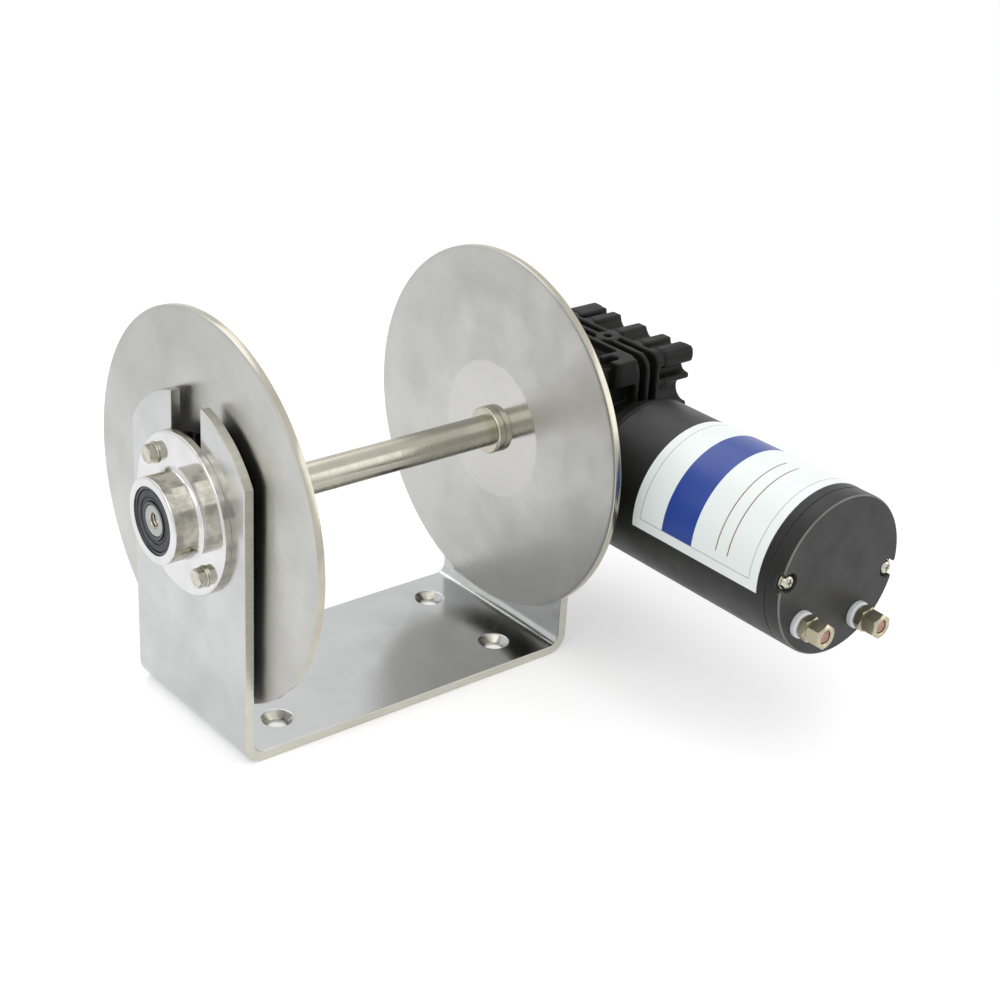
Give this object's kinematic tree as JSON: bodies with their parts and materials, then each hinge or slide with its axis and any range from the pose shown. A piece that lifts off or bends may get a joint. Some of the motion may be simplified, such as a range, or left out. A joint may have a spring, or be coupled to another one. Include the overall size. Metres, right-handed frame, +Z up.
{
  "type": "electric anchor winch",
  "caption": "Open drum winch for an anchor rope: two discs on a shaft in a U-shaped stainless frame, driven by a motor through a finned worm gearbox.",
  "frame": {"origin": "centre of the base's underside, between the four foot holes", "axes": "+X along the drum shaft from the hub to the gearbox, -Y towards the motor's terminals, +Z up"},
  "size_m": [0.2924, 0.2919, 0.2025],
  "materials": {
    "frame_stainless": "satin",
    "disc_stainless": "turned and satin",
    "polished_stainless": "polished",
    "bolt_stainless": "machined",
    "bearing_steel": "ground",
    "seal_rubber": "moulded",
    "wheel_bronze": "machined",
    "bush_bronze": "sintered",
    "gear_steel": "ground",
    "gearbox_aluminium": "cast, black",
    "gasket_fibre": "matt",
    "motor_enamel": "satin black",
    "cap_aluminium": "satin black",
    "magnet_ferrite": "sintered",
    "core_steel": "laminated",
    "winding_copper": "enamelled copper",
    "phenolic_board": "laminate",
    "holder_brass": "pressed",
    "brush_carbon": "carbon",
    "stud_copper": "threaded",
    "white_nylon": "moulded",
    "label_film": "printed film"
  },
  "bodies": {
    "frame_and_drive": {"frame": "frame_stainless", "hub": "polished_stainless", "hub_bolts": "bolt_stainless", "hub_washers": "bolt_stainless", "hub_bearing_outer_ring": "bearing_steel", "hub_bearing_seals": "seal_rubber", "output_bearing_outer_rings": "bearing_steel", "worm_bearing_outer_rings": "bearing_steel", "gearbox_case": "gearbox_aluminium", "gearbox_cover": "gearbox_aluminium", "cover_gasket": "gasket_fibre", "cover_screws": "bolt_stainless", "mounting_bolts": "bolt_stainless", "mounting_washers": "bolt_stainless", "output_seal": "seal_rubber", "worm_end_cap": "gear_steel", "motor_flange": "gearbox_aluminium", "motor_flange_screws": "bolt_stainless", "motor_tube": "motor_enamel", "field_magnets": "magnet_ferrite", "drive_end_bush": "bush_bronze", "cap_bush": "bush_bronze", "end_cap": "cap_aluminium", "brush_plate": "phenolic_board", "brush_holders": "holder_brass", "brushes": "brush_carbon", "brush_springs": "holder_brass", "through_bolts": "bolt_stainless", "through_bolt_washers": "bolt_stainless", "terminal_studs": "stud_copper", "terminal_bushes": "white_nylon", "terminal_nuts": "bolt_stainless", "motor_label": "label_film"},
    "drum": {"drum_shaft": "polished_stainless", "left_disc": "disc_stainless", "right_disc": "disc_stainless", "left_collar": "polished_stainless", "right_collar": "polished_stainless", "worm_wheel": "wheel_bronze", "wheel_key": "gear_steel", "wheel_spacers": "gear_steel", "shaft_clip": "gear_steel", "hub_bearing_inner_ring": "bearing_steel", "output_bearing_inner_rings": "bearing_steel"},
    "shaft_bearing_cages": {"hub_bearing_balls": "bearing_steel", "hub_bearing_cage": "bearing_steel", "output_bearing_balls": "bearing_steel", "output_bearing_cages": "bearing_steel"},
    "worm": {"worm_shaft": "gear_steel", "spur_gear": "gear_steel", "spur_gear_key": "gear_steel", "worm_bearing_inner_rings": "bearing_steel"},
    "worm_bearing_cages": {"worm_bearing_balls": "bearing_steel", "worm_bearing_cages": "bearing_steel"},
    "armature": {"armature_shaft": "gear_steel", "armature_core": "core_steel", "armature_windings": "winding_copper", "commutator": "winding_copper", "pinion": "gear_steel"}
  },
  "joints": [
    {"name": "drum_spin", "type": "hinge", "parent": "frame_and_drive", "child": "drum", "pos_m": [0, 0, 0.11], "axis": [1, 0, 0], "continuous": true},
    {"name": "shaft_cage_spin", "type": "hinge", "parent": "frame_and_drive", "child": "shaft_bearing_cages", "pos_m": [0, 0, 0.11], "axis": [1, 0, 0], "continuous": true},
    {"name": "worm_spin", "type": "hinge", "parent": "frame_and_drive", "child": "worm", "pos_m": [0.1384, 0, 0.076], "axis": [0, 1, 0], "continuous": true},
    {"name": "worm_cage_spin", "type": "hinge", "parent": "frame_and_drive", "child": "worm_bearing_cages", "pos_m": [0.1384, 0, 0.076], "axis": [0, 1, 0], "continuous": true},
    {"name": "armature_spin", "type": "hinge", "parent": "frame_and_drive", "child": "armature", "pos_m": [0.1384, 0, 0.091], "axis": [0, 1, 0], "continuous": true}
  ],
  "couplings": [
    {"joint": "shaft_cage_spin", "follows": "drum_spin", "ratio": 0.39872},
    {"joint": "worm_spin", "follows": "drum_spin", "ratio": -30},
    {"joint": "worm_cage_spin", "follows": "drum_spin", "ratio": -11.03},
    {"joint": "armature_spin", "follows": "drum_spin", "ratio": 45}
  ]
}
